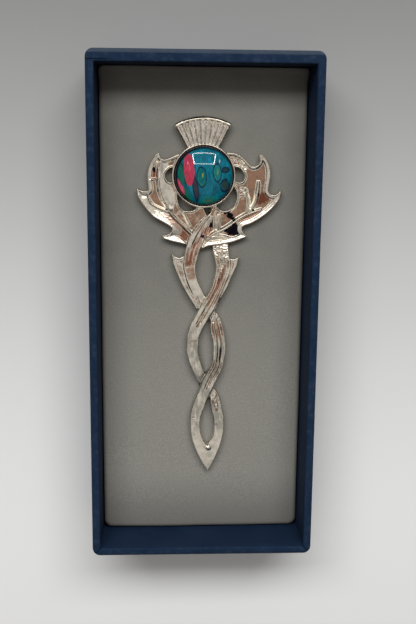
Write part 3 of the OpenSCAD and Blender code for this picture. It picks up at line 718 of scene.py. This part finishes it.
def foam_pad():
    """The foam pad: soft shoulders, sides that bulge a little, and a top that is never quite level."""
    squeeze = 0.1
    half_w, half_l = (PAD_HIGH[:2] - PAD_LOW[:2]) / 2 + squeeze
    low, high = PAD_LOW[2], PAD_HIGH[2]
    corner, edge_r, pitch = 2.0, 1.3, 1.2

    def ring(inset, z, radius):
        return rounded_ring(half_w - inset, half_l - inset, radius, z, (48, 115))

    rings = [ring(0.4, low, corner)]
    rings += [ring(0, low + z, corner) for z in np.linspace(0.3, high - low - edge_r, 5)]
    for a in np.linspace(0, math.pi / 2, 8)[1:]:
        inset = edge_r * (1 - math.cos(a))
        rings.append(ring(inset, high - edge_r * (1 - math.sin(a)), corner - inset * 0.6))
    for inset in np.arange(edge_r + pitch, half_w - 1, pitch):
        rings.append(ring(inset, high, max(corner - inset * 0.6, 0.3)))
    piece = skinned("foam_pad", rings)
    mesh = piece.data
    points = points_of(mesh)
    level = ramp(points[:, 2], low + 1, high)
    sag = 0.14 * (ripple(points * [1, 1, 0], 21.0, 2.7) - 1)
    curl = 0.5 * ramp(-points[:, 1], 30, half_l) * ramp(-points[:, 0], -half_w, 0.4 * half_w)
    points[:, 1] -= 0.2 * ramp(points[:, 1], half_l - 9, half_l - 2)
    points[:, 1] = np.minimum(points[:, 1], half_l - HEAD_WALL_MORE)
    pressed = 3.0 * ramp(points[:, 1], half_l - 4.6, half_l - 1.2)
    points[:, 2] += (sag + curl + pressed) * level
    inward = np.clip(ripple(points * [1, 1, 0.4], 17.0, 5.1), -1, 1) - 1
    side = ramp(np.maximum(np.abs(points[:, 0]) / half_w, np.abs(points[:, 1]) / half_l), 0.86, 0.98)
    points[:, :2] *= 1 + 0.003 * (inward * side)[:, None]
    set_points(mesh, points)
    mesh.transform(Matrix.Scale(MM, 4))
    cut(piece, pin_cutter(0.3))
    finish_piece(piece, foam(), "pad")
    return piece


# Nodes and materials

class Value:
    """A node's output: Python's operators on it add Math nodes."""

    def __init__(self, nodes, socket):
        self.nodes = nodes
        self.socket = socket

    def __add__(self, other):
        return self.nodes.maths("ADD", self, other)

    def __sub__(self, other):
        return self.nodes.maths("SUBTRACT", self, other)

    def __rsub__(self, other):
        return self.nodes.maths("SUBTRACT", other, self)

    def __mul__(self, other):
        return self.nodes.maths("MULTIPLY", self, other)

    def __truediv__(self, other):
        return self.nodes.maths("DIVIDE", self, other)

    __radd__ = __add__
    __rmul__ = __mul__

    def size(self):
        """The value without its sign."""
        return self.nodes.maths("ABSOLUTE", self)

    def step(self, start, end):
        """0 at start, 1 at end and a smooth change between them, up or down."""
        if start > end:
            return 1 - self.step(end, start)
        return self.nodes.node("ShaderNodeMapRange", {"Value": self, "From Min": start, "From Max": end},
                               interpolation_type="SMOOTHSTEP")


def set_stops(elements, stops):
    """Gives a colour ramp its stops: place on the ramp, colour."""
    while len(elements) < len(stops):
        elements.new(1.0)
    for element, (place, colour) in zip(elements, stops):
        element.position = place
        element.color = (*colour, 1)


class Nodes:
    """A node tree, with short ways to add nodes. An input may be a plain value or another node's output."""

    def __init__(self, tree):
        self.tree = tree

    def node(self, kind, inputs=None, output=0, **settings):
        made = self.tree.nodes.new(kind)
        for name, value in settings.items():
            if name == "stops":
                set_stops(made.color_ramp.elements, value)
            else:
                setattr(made, name, value)
        for name, value in (inputs or {}).items():
            self.feed(made.inputs[name], value)
        return Value(self, made.outputs[output])

    def feed(self, socket, value):
        if isinstance(value, Value):
            self.tree.links.new(value.socket, socket)
        elif socket.type == "RGBA":
            socket.default_value = (*value, 1)
        else:
            socket.default_value = value

    def maths(self, operation, *values):
        return self.node("ShaderNodeMath", dict(enumerate(values)), operation=operation)

    def spot(self, x, y, z):
        return self.node("ShaderNodeCombineXYZ", {"X": x, "Y": y, "Z": z})

    def parts(self, place):
        """How far a place lies across, along and up."""
        sockets = self.node("ShaderNodeSeparateXYZ", {0: place}).socket.node.outputs
        return [Value(self, socket) for socket in sockets]

    def vector(self, operation, a, b=(0, 0, 0), output=0):
        return self.node("ShaderNodeVectorMath", {0: a, 1: b}, output, operation=operation)


class Paint(Nodes):
    """The nodes of a material or of the sky."""

    def __init__(self, owner, shader="Principled BSDF", **values):
        owner.use_nodes = True
        super().__init__(owner.node_tree)
        self.owner = owner
        self.shader = self.tree.nodes[shader]
        self.set(**values)

    def set(self, **values):
        """Sets or links the shader's own sockets, named in lower case with underscores."""
        for name, value in values.items():
            self.feed(self.shader.inputs[name.replace("_", " ").title().replace("Ior", "IOR")], value)
        return self.owner

    def place(self):
        """Object coordinates in millimetres."""
        return self.vector("MULTIPLY", self.node("ShaderNodeTexCoord", output="Object"), (1 / MM,) * 3)

    def brooch_place(self):
        """Object coordinates in the brooch's own frame, in millimetres."""
        return self.inside(self.node("ShaderNodeTexCoord", output="Object"),
                           (STONE_X * MM, STONE_Y * MM, BROOCH_Z * MM), BROOCH_TURN, (MM,) * 3)

    def inside(self, place, middle, turn, size):
        """Coordinates in a frame that is moved, turned round z and scaled."""
        return self.node("ShaderNodeMapping", {"Vector": place, "Location": middle, "Rotation": (0, 0, turn),
                                               "Scale": size}, vector_type="TEXTURE")

    def oval(self, place, x, y, half_w, half_h, turn=0.0):
        """1 at an oval's edge, less inside it and more outside."""
        inside = self.inside(place, (x, y, 0), math.radians(turn), (half_w, half_h, 1000))
        return self.vector("LENGTH", inside, output="Value")

    def noise(self, place, size, detail=3.0, roughness=0.5, output="Fac"):
        return self.node("ShaderNodeTexNoise", {"Vector": place, "Scale": 1 / size, "Detail": detail,
                                                "Roughness": roughness}, output)

    def fibres(self, place, size, share, detail=3.0):
        """Noise that is drawn out along y, more so where the share is small."""
        return self.noise(self.vector("MULTIPLY", place, (1, share, 1)), size, detail, 0.6)

    def mix(self, share, a, b):
        """A colour between two colours."""
        return self.node("ShaderNodeMix", {0: share, 6: a, 7: b}, 2, data_type="RGBA")

    def bump(self, height, distance, strength, below=None):
        """Distance is in millimetres, and below is a coarser bump that this one lies on."""
        inputs = {"Height": height, "Distance": distance * MM, "Strength": strength}
        if below:
            inputs["Normal"] = below
        return self.node("ShaderNodeBump", inputs)


def material(name, **values):
    return Paint(bpy.data.materials.new(name), **values)


# Colours of the painted reflections on the metal
BLACK = (0.018, 0.018, 0.036)
BROWN = (0.46, 0.27, 0.20)
TAN = (0.66, 0.46, 0.37)
# Painted reflections: darker places on the metal's upper side, in brown, tan and black, that stand in for
# the dark room which the polished metal mirrors:
# x, y, half width, half height, turn in degrees, colour, height in millimetres up to which they reach
PAINTED_REFLECTIONS = [
    (14.9, -5.4, 2.6, 1.2, 34, BROWN, 1.65), (-12.1, 0.8, 0.8, 1.5, 10, TAN, 1.7),
    (11.4, -10.0, 3.0, 0.9, 30, TAN, 1.65), (-6.2, -12.1, 0.9, 4.0, 48, TAN, 1.8),
    (-5.0, -14.6, 1.8, 1.3, 30, TAN, 1.8), (0.2, -13.8, 0.9, 2.1, -42, TAN, 3.5),
    (-1.9, -16.5, 0.9, 2.3, -34, TAN, 3.5), (-3.4, -19.6, 0.8, 2.4, -22, TAN, 3.5),
    (-0.5, -14.7, 0.5, 0.4, 0, BLACK, 3.5), (5.5, -9.0, 0.7, 0.45, 30, BLACK, 1.7),
    (7.1, -10.6, 0.7, 0.4, -40, BLACK, 1.7), (6.3, -9.8, 0.9, 0.8, -20, BLACK, 1.7),
    (6.7, -13.6, 2.0, 1.1, -16, BLACK, 1.7), (7.5, -12.8, 0.9, 1.1, 0, BLACK, 1.7),
    (1.5, -12.0, 0.45, 0.8, 20, BLACK, 1.6),
    (5.5, -22.2, 0.7, 0.6, 25, BLACK, 1.9), (-0.8, -33.6, 0.4, 1.4, -27, BLACK, 1.9),
    (4.6, -24.0, 0.6, 2.3, -17, BROWN, 1.9), (3.0, -27.2, 0.6, 2.3, -25, BROWN, 1.9),
    (1.2, -30.6, 0.5, 2.5, -30, BROWN, 1.9), (3.2, -39.2, 0.3, 3.2, 14, TAN, 1.9),
    (3.5, -45.5, 0.2, 2.6, -3, BLACK, 1.9), (-12.0, 1.6, 0.45, 0.7, 20, BLACK, 1.6),
]


def cast_metal():
    """Bright plated metal, with a soft polish that is duller, darker and rougher in places, and painted
    reflections of the room in brown, tan and black.
    """
    paint = material("cast_metal", metallic=1.0)
    place = paint.brooch_place()
    across, along, height = paint.parts(place)
    grain = paint.noise(place, 0.35, 4, 0.6)
    ripples = paint.noise(place, 1.1, 2)
    cloud = paint.noise(place, 2.2, 4, 0.6).step(0.42, 0.68)
    colour = paint.mix(cloud, (0.94, 0.87, 0.76), (0.66, 0.62, 0.54))
    handled = along.step(-34, -40) * along.step(-68, -62) * paint.fibres(place, 0.9, 0.3, 4).step(0.36, 0.58)
    colour = paint.mix(0.8 * handled, colour, (0.40, 0.385, 0.345))
    reed = paint.maths("ARCTAN2", across, along) * (REED_COUNT / TUFT_SPREAD)
    lip_inside = TUFT_R - 1.1
    reach = across * across + along * along
    groove = paint.maths("PINGPONG", reed, 0.5).step(0.2, 0.42) * along.step(6.5, 7.5)
    groove = groove * reach.step(lip_inside ** 2, (lip_inside - 0.5) ** 2)
    groove = groove * paint.noise(place, 0.5, 3, 0.6).step(0.3, 0.6)
    colour = paint.mix(0.85 * groove, colour, (0.31, 0.27, 0.24))
    above = height.step(0.7, 0.9)
    ragged = 1.5 * paint.noise(place, 0.6, 4, 0.7)
    # Painted reflections: brown, tan and black fields on the upper side, standing in for what the metal
    # mirrors
    for x, y, half_w, half_h, turn, reflection_colour, highest in PAINTED_REFLECTIONS:
        share = above * height.step(highest, highest - 0.15)
        share = share * (paint.oval(place, x, y, half_w, half_h, turn) + ragged).step(1.80, 1.66)
        colour = paint.mix(share, colour, reflection_colour)
    return paint.set(base_color=colour, roughness=0.07 + 0.14 * grain.step(0.4, 0.75),
                     normal=paint.bump(grain, 0.02, 0.5, paint.bump(ripples, 0.05, 0.4)))


def pin_steel():
    """Plain drawn steel wire and blocks."""
    paint = material("pin_steel", metallic=1.0)
    grain = paint.noise(paint.place(), 0.25, 4, 0.6)
    return paint.set(base_color=paint.mix(grain, (0.62, 0.60, 0.57), (0.52, 0.50, 0.47)),
                     roughness=0.24 + 0.12 * grain, normal=paint.bump(grain, 0.02, 0.4))


TEAL = (0.002, 0.120, 0.165)
DARK_TEAL = (0.001, 0.080, 0.115)
DEEP_BLUE = (0.001, 0.045, 0.080)
BRIGHT_BLUE = (0.003, 0.150, 0.230)
GREEN = (0.004, 0.095, 0.065)
SEA_GREEN = (0.003, 0.120, 0.105)
DARK_GREEN = (0.006, 0.040, 0.032)
CRIMSON = (0.360, 0.026, 0.055)
ROSE = (0.480, 0.065, 0.110)
CHARCOAL = (0.030, 0.022, 0.030)
YELLOW_GREEN = (0.150, 0.230, 0.060)
ORANGE = (0.500, 0.180, 0.020)
INK = (0.001, 0.012, 0.030)
# The pressed stems that show in the stone, from the lowest to the one on top, with two painted highlights
# among them:
# x, y, half width, half height, turn in degrees, edge softness, colour of the outline and of the middle
STEMS_AND_HIGHLIGHTS = [
    (1.0, -5.9, 2.4, 1.2, 10, 0.7, SEA_GREEN, (0.060, 0.090, 0.030)),
    (-5.6, 0.2, 1.3, 4.2, 8, 0.4, DARK_GREEN, GREEN),
    (-4.1, -4.4, 1.1, 3.4, 30, 0.35, DARK_TEAL, (0.004, 0.110, 0.075)),
    (-2.1, -2.9, 0.75, 3.4, 7, 0.30, INK, CHARCOAL),
    (5.2, 1.4, 1.1, 0.75, 15, 0.35, INK, (0.010, 0.030, 0.032)),
    (5.0, -2.3, 1.25, 1.7, -12, 0.30, INK, (0.016, 0.036, 0.030)),
    (6.1, -0.6, 0.5, 1.2, 0, 0.6, DARK_TEAL, SEA_GREEN),
    (3.5, -1.8, 0.22, 1.9, 38, 0.5, DARK_TEAL, INK),
    (3.1, 0.8, 1.1, 2.3, 3, 0.18, INK, (0.004, 0.125, 0.135)),
    (3.2, 0.9, 0.5, 1.5, 0, 0.70, SEA_GREEN, (0.030, 0.150, 0.090)),
    (3.2, 0.9, 0.26, 1.0, 2, 0.60, (0.030, 0.150, 0.090), YELLOW_GREEN),
    (-0.63, -0.2, 1.2, 2.6, 2, 0.16, INK, SEA_GREEN),
    (-0.6, 0.0, 0.65, 1.7, 0, 0.35, DARK_TEAL, (0.004, 0.105, 0.075)),
    (-0.42, 0.25, 0.20, 0.62, -6, 0.60, YELLOW_GREEN, ORANGE),
    (-3.6, 1.6, 1.25, 3.8, 2, 0.12, CRIMSON, CRIMSON),
    (-3.5, 2.1, 0.6, 2.7, 4, 0.70, CRIMSON, ROSE),
    (-5.6, -2.5, 0.50, 2.1, 22, 0.20, CRIMSON, ROSE),
    # Painted highlights: two pale flecks that stand in for side lights mirrored in the dome
    (3.7, 3.5, 0.24, 0.70, 8, 0.50, TEAL, (0.520, 0.420, 0.450)),
    (-3.9, 3.2, 0.36, 0.8, -8, 0.60, CRIMSON, (0.620, 0.280, 0.340)),
    (4.2, 2.7, 0.13, 0.8, 24, 0.40, DEEP_BLUE, (0.040, 0.035, 0.050)),
]


def pressed_stone():
    """Dyed stems pressed side by side in clear resin: dark-edged ovals in teal, under a glossy coat, with
    painted highlights and a painted dark edge.
    """
    paint = material("pressed_stone", coat_weight=1.0, coat_roughness=0.03, coat_ior=1.32,
                     specular_ior_level=0.0)
    place = paint.brooch_place()
    wobble = paint.vector("SUBTRACT", paint.noise(place, 1.3, 3, 0.55, "Color"), (0.5, 0.5, 0.5))
    bent = paint.vector("ADD", place, paint.vector("MULTIPLY", wobble, (0.5, 0.5, 0.5)))
    colour = paint.node("ShaderNodeValToRGB", {"Fac": paint.fibres(bent, 1.6, 0.35, 4)}, "Color", stops=[
        (0.26, DEEP_BLUE), (0.42, DARK_TEAL), (0.56, TEAL), (0.68, BRIGHT_BLUE), (0.82, GREEN)])
    for x, y, half_w, half_h, turn, soft, outline, middle in STEMS_AND_HIGHLIGHTS:
        away = paint.oval(bent, x, y, half_w, half_h, turn)
        ring = paint.mix(away.step(1.0 - soft * 0.5, 1.0 - soft * 1.6), outline, middle)
        colour = paint.mix(away.step(1.0 + soft * 0.4, 1.0 - soft * 0.4), colour, ring)
    colour = paint.mix(0.5 * paint.fibres(place, 0.22, 0.18).step(0.35, 0.7), colour, INK)
    # Painted shade: a dark edge round the stone, darker at the left and top
    rim = paint.oval(place, 0.14, -0.12, STONE_R, STONE_R)
    colour = paint.mix(rim.step(0.90, 0.97), colour, (0.001, 0.004, 0.008))
    return paint.set(base_color=colour, roughness=0.35)


def foam():
    """Fine grey foam with a velvety, slightly mottled skin, with painted light that makes it paler towards
    the foot end and painted shade along the foot end.
    """
    paint = material("grey_foam", roughness=0.95, specular_ior_level=0.15)
    place = paint.place()
    along = paint.parts(place)[1]
    cells = paint.noise(place, 0.32, 3, 0.65)
    mottle = paint.noise(place, 6.0).step(0.3, 0.7)
    colour = paint.mix(mottle, (0.184, 0.181, 0.165), (0.202, 0.198, 0.180))
    # Painted light: paler towards the foot end
    colour = paint.mix(along.step(25.0, -30.0), colour, (0.290, 0.284, 0.262))
    # Painted shade along the foot end
    colour = paint.mix(along.step(-42.0, -58.0), colour, (0.185, 0.182, 0.172))
    colour = paint.mix(0.35 * cells.step(0.62, 0.40), colour, (0.13, 0.127, 0.115))
    return paint.set(base_color=colour, normal=paint.bump(cells, 0.06, 0.6))


def wrapped_board():
    """Navy paper with a fine linen tooth, a little worn where it turns over an edge, and painted light along
    the head end's outer edge.
    """
    paint = material("navy_paper", specular_ior_level=0.12)
    half_w, half_l, rim_z = TRAY_HIGH
    place = paint.place()
    across, along, height = paint.parts(place)
    tooth = paint.noise(place, 0.22, 3, 0.6)
    cloud = paint.noise(place, 9.0).step(0.3, 0.7)
    colour = paint.mix(cloud, (0.009, 0.021, 0.050), (0.012, 0.026, 0.058))
    worn = height.step(rim_z - 0.5, rim_z) * paint.noise(place, 1.3, 5, 0.65).step(0.45, 0.75)
    colour = paint.mix(0.16 * worn, colour, (0.10, 0.14, 0.20))
    # Painted light: a paler band along the head end's outer edge
    lit_head_edge = along.step(half_l - 1.1, half_l - 0.8)
    colour = paint.mix(0.35 * lit_head_edge, colour, (0.10, 0.12, 0.14))
    mitre = (half_w - across.size()) - (half_l - along.size())
    fold = mitre.size().step(0.24, 0.08) * along.step(-50.0, -55.0)
    lap = (along - (half_l - 2.5)).size().step(0.22, 0.08) * across.step(-20, -24)
    seam = (fold + lap) * height.step(rim_z - 1.0, rim_z - 0.6)
    colour = paint.mix(0.75 * seam, colour, (0.002, 0.005, 0.014))
    long_fibres = paint.fibres(place, 0.5, 0.12)
    creased = paint.bump(1 - seam, 0.12, 0.8, paint.bump(long_fibres, 0.04, 0.4))
    return paint.set(base_color=colour, roughness=0.62 + 0.15 * tooth,
                     normal=paint.bump(tooth, 0.03, 0.5, creased))


def table_top():
    """Smooth board with painted light: paler towards the viewer."""
    paint = material("pale_table", roughness=0.7)
    place = paint.place()
    # Painted light: the board runs from dark at the head end to pale towards the viewer
    share = (paint.parts(place)[1] + 8.0 * paint.noise(place, 60.0)).step(110.0, -70.0)
    return paint.set(base_color=paint.mix(share, (0.215, 0.218, 0.222), (0.89, 0.905, 0.92)))


# The studio

# What every light looks at, in metres
AIM = Vector((0, 0, 0.02))
# Lights on the metal alone: name, place, size and power
WINDOWS = [
    ("window_light", (0, 0.40, 0.57), (0.6, 0.36), 1.2),
    ("left_window", (-0.5, 0.0, 0.42), (0.5, 0.2), 0.22),
    ("right_window", (0.5, 0.0, 0.42), (0.5, 0.2), 0.22),
    ("foot_window", (0.0, -0.5, 0.42), (0.5, 0.2), 0.10),
]
# Corners of the window frame that the stone mirrors: tilt from the zenith and turn to the right, in degrees
FRAME_CORNERS = [(37, -18), (37, 23), (20, 20), (20, -15)]
FRAME_POWERS = [1.5, 2.8, 1.1, 2.8]


def soft_light(name, place, size, power, colour=(1, 1, 1), piece=None):
    """A rectangular light that looks at the aim. It falls on one piece alone, if it is given one."""
    lamp = bpy.data.lights.new(name, "AREA")
    lamp.shape = "RECTANGLE"
    lamp.size, lamp.size_y = size
    lamp.energy = power
    lamp.color = colour
    light = new_object(name, lamp)
    light.location = place
    light.rotation_euler = (AIM - Vector(place)).to_track_quat("-Z", "Y").to_euler()
    if piece:
        lit = bpy.data.collections.new(name + "_falls_on")
        lit.objects.link(piece)
        light.light_linking.receiver_collection = lit
    return light


def studio(metal, gem):
    half = 1.5
    mesh = bpy.data.meshes.new("floor")
    corners = [(-half, -half, 0), (half, -half, 0), (half, half, 0), (-half, half, 0)]
    mesh.from_pydata(corners, [], [(0, 1, 2, 3)])
    ground = new_object("floor", mesh)
    mesh.materials.append(table_top())
    bpy.context.scene.view_settings.view_transform = "Standard"
    studio_sky()
    frame_light(gem)
    for name, place, size, power in WINDOWS:
        soft_light(name, place, size, power, (1.0, 0.98, 0.95), metal)
    main_light = soft_light("main_light", (-0.03, 0.41, 0.56), (0.8, 0.20), 4.7, (1.0, 0.99, 0.97))
    main_light.visible_glossy = False


def studio_sky():
    """Pale walls towards the head end, dim ones at the other, and a brown middle of the ceiling."""
    world = bpy.data.worlds.new("studio")
    bpy.context.scene.world = world
    sky = Paint(world, "Background")
    way = sky.node("ShaderNodeTexCoord", output="Generated")

    def patch(direction, inside, outside):
        """1 within one angle of a direction, 0 past another, both in degrees."""
        share = sky.vector("DOT_PRODUCT", way, Vector(direction).normalized(), "Value")
        return share.step(math.cos(math.radians(outside)), math.cos(math.radians(inside)))

    colour = sky.mix(sky.parts(way)[1].step(-0.25, 0.55), (0.06, 0.06, 0.06), (0.34, 0.335, 0.32))
    colour = sky.mix(patch((0, 0, 1), 24, 46), colour, (0.55, 0.54, 0.515))
    colour = sky.mix(patch((0.04, 0.04, 1), 11, 13.5), colour, (0.25, 0.150, 0.108))
    sky.set(color=colour)


def frame_light(gem):
    """A window-like frame of four strip lights towards the head end, which the stone mirrors."""
    distance = 0.70
    width = 0.014
    corners = []
    for tilt, turn in FRAME_CORNERS:
        a, b = math.radians(tilt), math.radians(turn)
        corners.append(Vector((math.sin(b) * 0.9, math.sin(a), math.cos(a))).normalized() * distance)
    for i, (corner, power) in enumerate(zip(corners, FRAME_POWERS)):
        after = corners[(i + 1) % len(corners)]
        middle = (corner + after) / 2
        length = (after - corner).length
        strip = soft_light("strip_light_" + str(i + 1), middle, (length, width), power * length, piece=gem)
        along = (after - corner).normalized()
        across = along.cross((AIM - middle).normalized())
        strip.rotation_euler = Matrix((along, across, along.cross(across))).transposed().to_euler()


def photo_camera():
    """The camera that took the photograph, from the tray's corners and the pad's edges in it."""
    camera = bpy.data.cameras.new("photo_camera")
    camera.sensor_fit = "VERTICAL"
    camera.sensor_height = 36
    camera.lens = 51.98
    camera.clip_start = 0.01
    eye = new_object("photo_camera", camera)
    eye.location = (-9.17 * MM, 42.61 * MM, 233.78 * MM)
    eye.rotation_euler = (-0.1953, -0.0458, 0.0094)
    bpy.context.scene.camera = eye


def main():
    photo_camera()
    studio(casting(), stone())
    foam_pad()
    tray()
    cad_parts["pin_back"].material_slots[0].material = pin_steel()


main()
